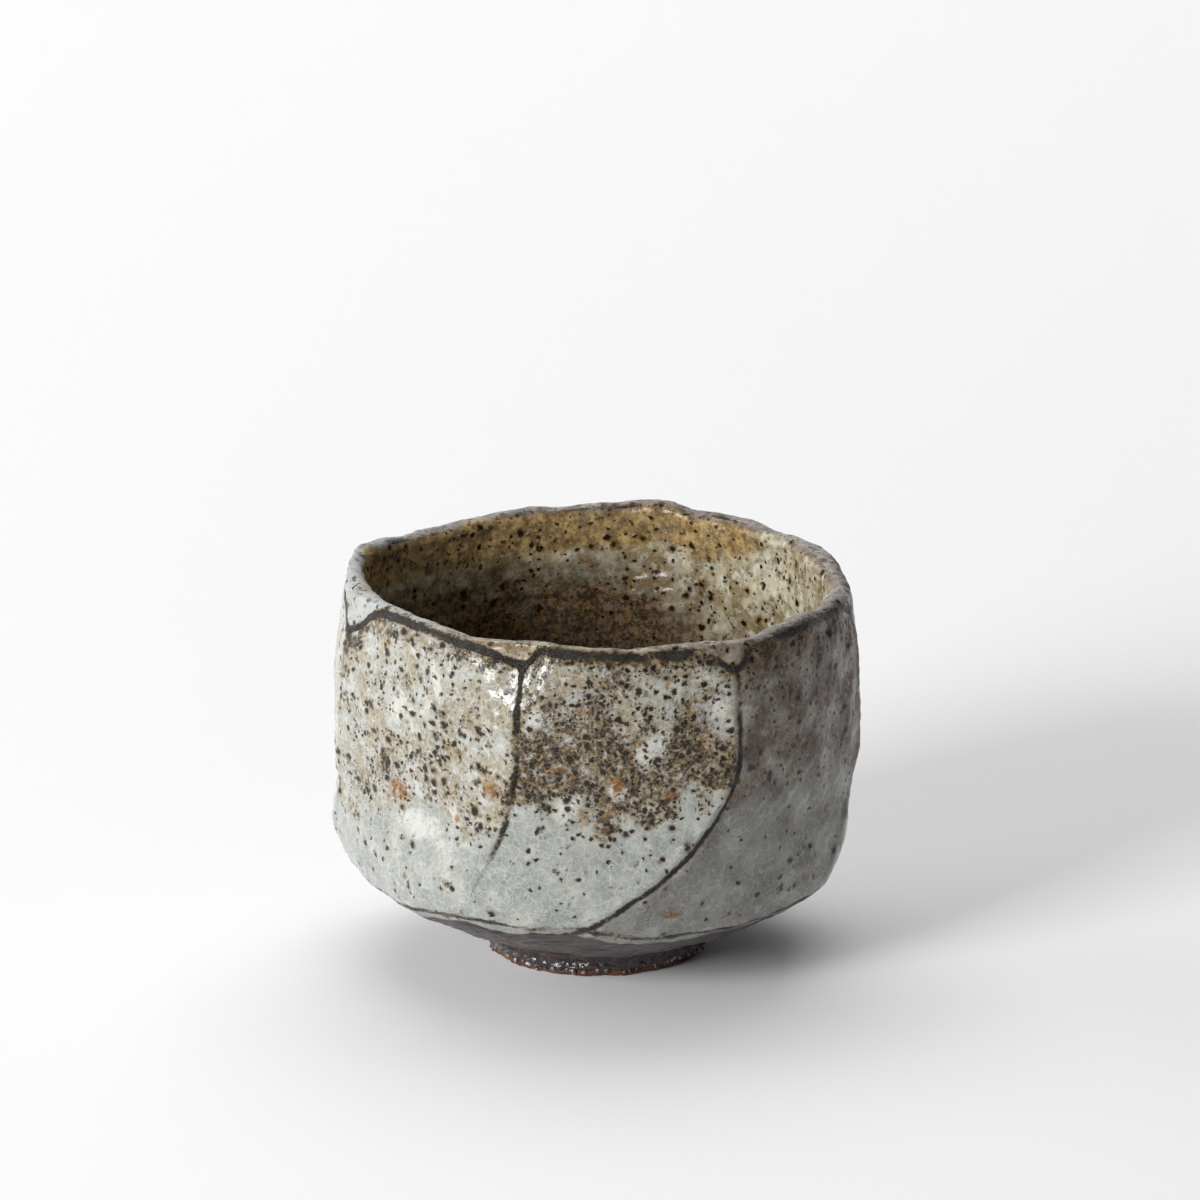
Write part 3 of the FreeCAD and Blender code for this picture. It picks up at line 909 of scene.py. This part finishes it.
def lip_glaze_material():
    """Thin glaze over the lip: pale at the left, olive in front, grey-brown round the rest."""
    graph = Graph("lip_glaze")
    cloud, fine = graph.noise(4.0, 5, 0.65), graph.noise(0.9, 4, 0.7)
    shade = graph.held("shade") + graph.noise(1.6, 5, 0.75) * 1.2 - 0.6
    lining, holes = inside_colour(graph)
    colour = layered(
        cloud.step(0.38, 0.62).blend(*LIP_GREYS),
        (graph.held("pale"), cloud.blend(*LIP_PALES)),
        (graph.held("front"), cloud.step(0.4, 0.6).blend(*LIP_OLIVES)),
        (shade.step(0.15, 0.75) * 0.85, LIP_SHADE),
        (fine.step(0.45, 0.7) * 0.21, WARM_WHITE),
        (graph.held("inside"), lining),
    )
    colour, specks = speckled(graph, colour, graph.held("iron"), graph.warped(2.4, 0.7))
    crest = graph.held("crest") * graph.noise(2.0, 4, 0.7).step(0.45, 0.6)
    colour = (crest * 0.7).blend(colour, LIP_CREST)
    colour, line = edged(graph, colour)
    height = graph.noise(1.2, 3, 0.6) * 0.14 + graph.noise(4.0) * 0.3 - specks * 0.06
    height = height + line * graph.noise(0.6, 3, 0.7) * 0.4
    return graph.finish(colour, fine * 0.2 + holes * 0.2 + 0.1, height)


def inner_glaze_material():
    """The same glaze as inside the lip."""
    graph = Graph("inner_glaze")
    colour, holes = inside_colour(graph)
    colour, specks = speckled(graph, colour, 0.34, graph.warped(2.4, 0.7))
    rough = graph.noise(1.0, 4, 0.7) * 0.16 + holes * 0.2 + 0.1
    height = graph.noise(1.6, 3, 0.6) * 0.12 + graph.noise(5.0) * 0.25
    height = height - specks * 0.05 - holes * 0.15
    return graph.finish(colour, rough, height)


def slip_material():
    """Dark iron slip with turning lines."""
    graph = Graph("iron_slip")
    lines = graph.noise(1.0, 3, 0.6, graph.stretched(14.0, 0.55, graph.warped(9.0, 0.5)))
    colour = graph.noise(7.0, 4, 0.6).step(0.35, 0.65).blend(*SLIPS)
    colour = (lines.step(0.5, 0.7) * 0.5).blend(colour, SLIP_LINE)
    colour = graph.dots(2.4, 0.12, 0.3).blend(colour, SLIP_GRIT)
    height = lines * 0.16 + graph.noise(1.2, 3, 0.6) * 0.08
    return graph.finish(colour, lines * 0.2 + 0.22, height)


def clay_material(name="stoneware_clay"):
    """Bare iron-rich clay with grog."""
    graph = Graph(name)
    grit = graph.noise(0.6, 3, 0.7)
    colour = graph.noise(5.0, 4, 0.65).step(0.35, 0.65).blend(*CLAYS)
    colour = graph.dots(1.3, 0.22, 0.3).blend(colour, PALE_GROG)
    colour = graph.dots(1.9, 0.2, 0.3).blend(colour, DARK_GROG)
    height = grit * 0.12 + graph.noise(2.5, 3, 0.6) * 0.15
    return graph.finish(colour, grit * 0.3 + 0.36, height)


def foot_glaze_material():
    """Dark glassy run with brown breaks."""
    graph = Graph("foot_run", shine=0.7)
    colour = graph.noise(3.0, 4, 0.6).step(0.4, 0.65).blend(*RUNS)
    colour = graph.dots(1.6, 0.2, 0.3).blend(colour, RUN_SPOT)
    height = graph.noise(1.0, 3, 0.6) * 0.25 + graph.noise(3.0) * 0.4
    return graph.finish(colour, graph.noise(1.0) * 0.18 + 0.1, height)


def bead_material():
    """Glass beads, from dark brown to pale."""
    graph = Graph("glass_beads", shine=0.8)
    colour = graph.noise(2.2, 3, 0.6).step(0.42, 0.68).blend(*BEADS)
    return graph.finish(colour, graph.noise(0.7) * 0.14 + 0.06, graph.noise(0.5) * 0.08)


# ---------- The pieces


def belly_height():
    """Height in each column at which the facets give way to the underside."""
    return first_height(12.0, 24.0, lambda z: underside_radius(z) >= facet_radius(z))


BELLY = ring_blur(belly_height(), 3)
SKIRT = 2.0 + 0.35 * waves(around(column_angle(BELLY[None, :]), 52.0, 0.0), 15, 41)[0]
HEM = BELLY - SKIRT  # the facets' glaze ends here


def on_facets(first, last):
    """Which columns lie on the facets from one ridge to another."""
    return ((FACET >= first) & (FACET < last)).astype(float)


def wall_marks(rings, height):
    """Values that the wall's material reads at each point, and how far kiln marks raise it."""
    radius = np.hypot(rings[..., 0], rings[..., 1])
    distance, ridge = ridge_distance(height)
    front, mauve_shaded_side = ring_blur(on_facets(*FRONT_FACET), 4), ring_blur(on_facets(*MAUVE_SHADED_SIDE), 3)
    far_left = on_facets(*FAR_LEFT)
    fade = np.where(ridge == FRONT_RIDGE, 0.25 + 0.75 * smooth_step(30, 46, height), 1.0)
    fade = np.where(ridge == 0, 0.15 + 0.75 * smooth_step(66, 76, height), fade)
    under_top = height - FACET_TOP
    lines = (
        bell(distance - 0.45, 0.75) * fade * (0.9 + 0.2 * waves(rings, 7, 51)),
        bell(under_top + 0.3, 0.75 + 0.6 * front) * (0.95 + 0.2 * waves(rings, 11, 52)),
        bell(height - BELLY, 0.45) * (0.85 + 0.25 * waves(rings, 9, 53)),
    )
    border = 42.0 + 8.0 * (front + mauve_shaded_side)
    border = border + 2.5 * waves(rings, 24, 54) + 1.5 * waves(rings, 7, 55)
    above = smooth_step(-6, 5, height - border)
    patches = 0.66 + 0.22 * waves(rings, 12, 56) + 0.1 * waves(rings, 5, 58) + 0.22 * front
    belt = bell(height - border - 8, 7.5) * (0.1 + front)
    under_lip = 0.5 * bell(under_top + 2.0, 2.6)
    iron = np.clip(above * patches * (1 - 0.85 * far_left) + belt + under_lip, 0.08, 1.6)
    # Purple-brown tint of the right facets, partly the glaze's own and partly painted shade.
    mauve_and_shade = mauve_shaded_side * (0.45 + 0.55 * smooth_step(-12, 7, height - border))
    marks = {
        "edge": np.maximum.reduce(lines),
        "iron": iron * (1 - 0.35 * mauve_shaded_side),
        "low": 1 - above,
        "mauve_and_shade": np.clip(mauve_and_shade * (0.8 + 0.2 * waves(rings, 9, 57)), 0, 1),
    }
    raised = 0.0
    for name, listed in (("white", WHITE_MARKS), ("ochre", OCHRE_MARKS), ("dark", DARK_MARKS)):
        marks[name], up = mark_cover(listed, angle_of(rings), height, radius)
        raised = raised + up
    # Painted light: the far-left facet is whitened where it faces the lamps.
    marks["white"] = np.maximum(marks["white"], 0.6 * far_left)
    return marks, raised


def scorched(angle):
    """How far each place round the lip is burnt brown: most at the back, towards the left."""
    return smooth_step(80, 52, np.abs(turn_between(angle, 203)))


def inside_marks(rings):
    """Where the inside of the bowl is scorched at the rim, and where further down it is stained
    brown and darkened with painted shade, most at the back-left.
    """
    angle, height = angle_of(rings), rings[..., 2]
    # Brown stain with painted shade at the back-left, and painted shade all round lower down.
    stained_and_shaded = smooth_step(95, 30, np.abs(turn_between(angle, 222))) * smooth_step(84, 54, height)
    low = 0.3 * smooth_step(62, 42, height)
    rim = smooth_step(12, 1, lip_height(angle) - 3 - height) * (0.2 + 0.8 * scorched(angle))
    return {"rim": rim, "stain_and_shade": np.maximum(stained_and_shaded, low)}


def wall_rings(share, inset=0.0):
    """Rings from the facets' hem up to their tops, and the heights of their points."""
    height = HEM + (FACET_TOP - HEM) * share
    return around(column_angle(height), outer_radius(height) - inset, height), height


def make_outer_glaze(material):
    rows, hidden = 97, 15
    share = shares(rows)
    rings, height = wall_rings(share)
    marks, raised = wall_marks(rings, height)
    pits = scattered_pits(rings, 22, 80, 260, 61)
    rings = lifted(rings, unevenness(rings) + raised + pits)
    picked = np.linspace(0, rows - 1, hidden).astype(int)
    back, _ = wall_rings(share[::-1][picked], GLAZE)
    piece = ring_mesh("ash_glaze_wall", np.vstack([rings, back]), marks, rows)
    settle(piece, material, "outer_glaze", "outer_glaze")


def lip_section():
    """Lines of points from the facets' tops, over the lip, to the inner seam, and their starts."""
    side = lip_height(TOP_ANGLE) - LIP_ROUND
    half = lip_thickness(TOP_ANGLE) / 2
    band_height = LIP_START + (side - LIP_START) * shares(26)
    over = np.linspace(0, math.pi, 44)[1:-1, None]
    down_height = side + (INNER_SEAM - side) * shares(12)
    height = np.vstack([band_height, side + LIP_ROUND * np.sin(over), down_height])
    outside = len(band_height) + np.count_nonzero(np.cos(over) > 0)
    radius = soft_min(lip_outside(height), cut_radius(height), 0.45)
    inner_round = lip_radius(TOP_ANGLE) - half + half * np.cos(over)
    inner = np.vstack([band_height, inner_round, inner_radius(TOP_ANGLE, down_height)])
    radius[outside:] = inner[outside:]
    places = np.arange(outside)
    tops = enumerate(FACET_TOP)
    start = [np.interp(top, height[:outside, column], places) for column, top in tops]
    return around(TOP_ANGLE, radius, height), np.array(start)


def lip_marks(rings, row):
    """Values that the lip's material reads. row runs from 0 outside to 1 at the inner seam."""
    angle = angle_of(rings)
    crest = 0.44 - 0.06 * scorched(angle) + 0.02 * waves(rings, 8, 71)
    inside = smooth_step(0.0, 0.10, row - crest)
    under_top = bell(rings[..., 2] - FACET_TOP, 0.8) * (row < 0.4)
    return inside_marks(rings) | {
        "edge": under_top * (0.95 + 0.2 * waves(rings, 11, 52)),
        "iron": np.clip(0.5 + 0.2 * waves(rings, 12, 56), 0, 1) * (1 - inside) + 0.34 * inside,
        "inside": inside,
        "crest": bell(row - crest, 0.06) * (0.4 + 0.6 * scorched(angle)),
        "shade": bell(row - 0.13, 0.10) * smooth_step(34, 24, np.abs(turn_between(angle, 66))),
        "pale": smooth_step(52, 30, np.abs(turn_between(angle, -78))),
        "front": smooth_step(46, 22, np.abs(turn_between(angle, -4))),
    }


def make_lip_glaze(material):
    rows, hidden = 60, 12
    rings = even_rows(*lip_section(), rows)
    marks = lip_marks(rings, shares(rows))
    rings, back = displaced(rings, unevenness(rings), hidden, GLAZE)
    piece = ring_mesh("lip_glaze_roll", np.vstack([rings, back]), marks, rows)
    settle(piece, material, "lip_glaze", "lip_glaze")


# Radius and height down the well's wall and over its floor.
WELL = (
    (50.2, 45.0),
    (50.0, 38.5),
    (48.3, 31.5),
    (44.3, 25.3),
    (38.0, 20.2),
    (30.0, 16.5),
    (21.0, 14.8),
    (10.0, 14.0),
    (0.6, FLOOR_HEIGHT),
)


def inside_section():
    """Lines down the inside wall from the seam to the middle of the floor."""
    wall_height = np.linspace(INNER_SEAM, WELL[0][1] + 3, 60)[:, None]
    wall = around(TOP_ANGLE, inner_radius(TOP_ANGLE, wall_height), wall_height)
    radius, height, left = smooth_line(WELL, 70)
    turning = 0.2 * np.cos(2 * math.pi * left / 4.2 + np.radians(TOP_ANGLE))
    lean = inner_radius(TOP_ANGLE, WELL[0][1]) - WELL[0][0]
    floor = around(TOP_ANGLE, radius + (lean + turning) * smooth_step(8, 40, radius), height)
    return np.vstack([wall, floor])


def make_inner_glaze(material):
    rows, hidden = 108, 12
    rings = even_rows(inside_section(), NO_START, rows)
    near_seam = smooth_step(0, 3, INNER_SEAM - rings[..., 2])
    pits = scattered_pits(rings, 40, 77, 200, 62)
    blank = np.zeros((hidden, ALL_COLUMNS))
    marks = {name: np.vstack([blank, values]) for name, values in inside_marks(rings).items()}
    rings, back = displaced(rings, unevenness(rings) + near_seam * pits, hidden, GLAZE)
    poles = np.array([[0, 0, FLOOR_HEIGHT - GLAZE], [0, 0, FLOOR_HEIGHT]])
    piece = ring_mesh("inner_glaze_lining", np.vstack([back, rings]), marks, None, poles, (hidden,))
    settle(piece, material, "inner_glaze", "inner_glaze")


def make_iron_slip(material):
    rows, hidden = 46, 8
    share = shares(rows) ** 1.25
    start, top = FOOT_HEIGHT - 0.1, HEM + 0.25
    height = start + (top - start) * share
    radius = np.where(share < 0.02, FOOT_RADIUS - 0.2, outer_radius(height) - 0.12)
    rings = around(column_angle(height), radius, height)
    reach = np.hypot(rings[..., 0], rings[..., 1])
    turning = 0.07 * np.cos(2 * math.pi * reach / 1.9 + waves(rings, 18, 81))
    rings, back = displaced(rings, unevenness(rings) + turning, hidden, SLIP)
    piece = ring_mesh("iron_slip_underside", np.vstack([rings, back]), None, rows)
    settle(piece, material, "iron_slip", "iron_slip")


# Radius and height in the foot's hollow, from the knob in its middle to under the foot ring.
HOLLOW = (
    (0.6, 4.0),
    (3.0, 4.1),
    (5.2, 4.5),
    (6.4, 5.1),
    (9.0, 5.15),
    (13.0, 5.0),
    (FOOT_RADIUS - FOOT_LAND, 5.1),
    (BASE_RADIUS - 1.5, 5.6),
)
CLAY_START = 9.0  # lowest height of the clay's side under the slip


def make_clay(material):
    """The clay under the coats, seen only in the hollow of the foot."""
    radius, height, _ = smooth_line(HOLLOW, 60)
    turning = 0.08 * np.cos(2 * math.pi * radius / 1.7 + np.radians(TOP_ANGLE))
    base = around(TOP_ANGLE, radius, height + turning)
    wall_height = CLAY_START + (FACET_TOP - CLAY_START) * shares(60)
    wall = around(column_angle(wall_height), outer_radius(wall_height) - CLAY_INSET, wall_height)
    lip = lifted(even_rows(*lip_section(), 24), -CLAY_INSET)
    inside = lifted(even_rows(inside_section(), NO_START, 50), -CLAY_INSET)
    every_other = slice(None, None, 2)
    rings = np.vstack([base, wall, lip[1:-1], inside[1:]])[:, every_other]
    poles = np.array([[0, 0, HOLLOW[0][1]], [0, 0, FLOOR_HEIGHT - CLAY_INSET]])
    settle(ring_mesh("clay_body", rings, None, None, poles), material, "clay", "clay_bowl")


FOOT_COLUMNS = 480
FOOT_ANGLE = np.linspace(0, 360, FOOT_COLUMNS, endpoint=False)[None, :]


def foot_wall(height):
    """Radius of the foot's outside at a height, with two turning grooves."""
    flare = 0.7 * (height / FOOT_HEIGHT)
    grooves = 0.18 * bell(height - 3.4, 0.5) + 0.12 * bell(height - 1.6, 0.4)
    return FOOT_RADIUS - 0.7 + flare - grooves


def foot_section():
    """Radius and height round the foot ring's section, from the top of its inside."""
    inner, edge, top = FOOT_RADIUS - FOOT_LAND, 0.7, FOOT_HEIGHT + 0.25
    outer = foot_wall(edge)
    turn = np.linspace(0, math.pi / 2, 8)
    down, up = np.linspace(top, edge, 16)[:-1], np.linspace(edge, FOOT_HEIGHT, 22)
    land = np.linspace(inner + edge, outer - edge, 12)[1:-1]
    parts = (
        (np.full_like(down, inner), down),
        (inner + edge - edge * np.cos(turn), edge - edge * np.sin(turn)),
        (land, np.zeros_like(land)),
        (outer - edge + edge * np.sin(turn[:-1]), edge - edge * np.cos(turn[:-1])),
        (foot_wall(up), up),
        (foot_wall(np.array([FOOT_HEIGHT])) - 1.0, np.array([top])),
    )
    return np.vstack([np.stack(part, axis=1) for part in parts])


def make_foot_ring(material):
    section = foot_section()
    rings = around(FOOT_ANGLE, section[:, :1], section[:, 1:])
    rings = lifted(rings, 0.12 * waves(rings, 7, 91) + 0.07 * waves(rings, 2.2, 92))
    rings[..., 2] = np.maximum(rings[..., 2], 0.0)
    settle(ring_mesh("foot_ring_turned", rings), material, "foot_clay", "foot_ring")


def run_edge(angle):
    """Height of the ragged lower edge of the run on the foot."""
    ring = around(angle, 23.0, 0.0)
    return 1.5 + 0.35 * waves(ring, 9, 93) + 0.25 * waves(ring, 3.0, 94)


def make_foot_glaze(material):
    rows, hidden = 22, 6
    share = shares(rows)
    low, top = run_edge(FOOT_ANGLE), FOOT_HEIGHT + 0.2
    height = low + (top - low) * share
    thick = 0.5 * np.sqrt(np.clip(share * 9, 0, 1)) + 0.1 * bell(share - 0.12, 0.12)
    rings = around(FOOT_ANGLE, foot_wall(height) + thick, height)
    lumps = 0.1 * waves(rings, 3.0, 95) + 0.06 * waves(rings, 1.3, 96)
    rings = lifted(rings, lumps * smooth_step(0, 0.2, share))
    back_height = low + (top - low) * np.linspace(1, 0, hidden)[:, None]
    back = around(FOOT_ANGLE, foot_wall(back_height) - 0.3, back_height)
    piece = ring_mesh("foot_glaze_run", np.vstack([rings, back]), None, rows)
    settle(piece, material, "foot_glaze", "foot_glaze")


BEAD_RINGS, BEAD_COLUMNS = 9, 14


def bead_points(middle, size, tall, lumps):
    """The points of one lumpy bead, ring by ring from below."""
    lift = (math.pi * (np.arange(BEAD_RINGS) + 0.5) / BEAD_RINGS - math.pi / 2)[:, None]
    turn = 2 * math.pi * np.arange(BEAD_COLUMNS) / BEAD_COLUMNS
    reach = size * (1 + lumps * np.cos(lift))
    flat = reach * np.cos(lift)
    upward = tall * reach * np.sin(lift)
    offset = np.stack([flat * np.cos(turn), flat * np.sin(turn), upward], axis=-1)
    return middle + offset.reshape(-1, 3)


def bead_faces(number):
    """The faces of the bead with this number: quads round it and a cap at each end."""
    count = BEAD_RINGS * BEAD_COLUMNS
    grid = number * count + np.arange(count).reshape(BEAD_RINGS, BEAD_COLUMNS)
    after = np.roll(grid, -1, axis=1)
    quads = np.stack([grid[:-1], after[:-1], after[1:], grid[1:]], axis=-1)
    return [*quads.reshape(-1, 4).tolist(), grid[0, ::-1].tolist(), grid[-1].tolist()]


def make_foot_beads(material):
    """Uneven glass beads and short dribbles along the run's edge, as one mesh."""
    rng = np.random.default_rng(97)
    beads, faces = [], []
    angle = 0.0
    while angle < 360:
        size = rng.uniform(0.22, 0.62)
        tall = rng.uniform(0.8, 1.5)
        height = run_edge(np.array([angle]))[0] + rng.uniform(-0.35, 0.25)
        height = max(height, size * tall + 0.15)
        middle = around(angle, foot_wall(height) + 0.25 + 0.1 * size, height)
        faces += bead_faces(len(beads))
        lumps = rng.uniform(-0.12, 0.12, (BEAD_RINGS, BEAD_COLUMNS))
        beads.append(bead_points(middle, size, tall, lumps))
        angle += math.degrees(size * rng.uniform(1.5, 6.5) / FOOT_RADIUS)
    piece = new_piece("foot_glass_beads", np.vstack(beads) * MM, faces)
    settle(piece, material, "foot_beads", "foot_beads")


# ---------- Floor, lights and camera, in metres


def make_floor():
    """A pale floor that curves up into a wall behind."""
    front, side, bend, curve, top = -3.0, 1.5, 1.8, 0.8, 3.0
    turns = np.linspace(0, math.pi / 2, 14)[1:]
    profile = [(front, 0.0), (bend, 0.0)]
    profile += [(bend + curve * math.sin(turn), curve - curve * math.cos(turn)) for turn in turns]
    profile.append((bend + curve, top))
    points = [(x, y, z) for y, z in profile for x in (-side, side)]
    faces = [(2 * i, 2 * i + 1, 2 * i + 3, 2 * i + 2) for i in range(len(profile) - 1)]
    floor = new_piece("paper_sweep", points, faces)
    graph = Graph("paper")
    grain = graph.noise(0.8)
    floor.data.materials.append(graph.finish(grain.blend(*PAPERS), 0.9, grain * 0.01))


def area_light(name, place, target, size, power):
    data = bpy.data.lights.new(name, "AREA")
    data.shape = "RECTANGLE"
    data.size, data.size_y = size
    data.energy = power
    lamp = add_object(name, data)
    lamp.location = place
    lamp.rotation_euler = (Vector(target) - Vector(place)).to_track_quat("-Z", "Y").to_euler()


def light_scene():
    middle = (0.0, 0.0, 0.045)
    area_light("window", (-1.42, -1.52, 0.78), middle, (0.8, 0.8), 50.0)
    area_light("side_panel", (-1.9, 0.5, 0.6), middle, (1.6, 1.0), 18.0)
    area_light("overhead", (0.0, 1.5, 2.2), (0.0, 0.9, 0.0), (2.6, 2.0), 43.0)
    world = bpy.data.worlds.new("studio")
    world.use_nodes = True
    nodes, links = world.node_tree.nodes, world.node_tree.links
    background = nodes["Background"]
    background.inputs["Color"].default_value = (1.0, 1.0, 1.0, 1.0)
    rays = nodes.new("ShaderNodeLightPath")
    strength = nodes.new("ShaderNodeMapRange")
    strength.inputs["To Min"].default_value = 0.12
    links.new(rays.outputs["Is Camera Ray"], strength.inputs["Value"])
    links.new(strength.outputs["Result"], background.inputs["Strength"])
    bpy.context.scene.world = world


def set_camera():
    """A very long lens 17.4 degrees above the bowl, aimed over it."""
    elevation = math.radians(17.4)
    distance, width = 4.0, 0.2643
    middle = Vector((0.0, 0.0, CAD_BOX[1][2] / 2))
    data = bpy.data.cameras.new("camera")
    data.sensor_width = 36.0
    data.lens = 36.0 * distance / width
    camera = add_object("camera", data)
    camera.location = middle + distance * Vector((0.0, -math.cos(elevation), math.sin(elevation)))
    aim = middle + Vector((0.0006, 0.0, 0.0366))
    camera.rotation_euler = (aim - camera.location).to_track_quat("-Z", "Y").to_euler()
    bpy.context.scene.camera = camera


make_outer_glaze(outer_glaze_material())
make_lip_glaze(lip_glaze_material())
make_inner_glaze(inner_glaze_material())
make_iron_slip(slip_material())
make_clay(clay_material())
make_foot_ring(clay_material("foot_clay"))
make_foot_glaze(foot_glaze_material())
make_foot_beads(bead_material())
make_floor()
light_scene()
set_camera()
bpy.context.scene.view_settings.view_transform = "Standard"
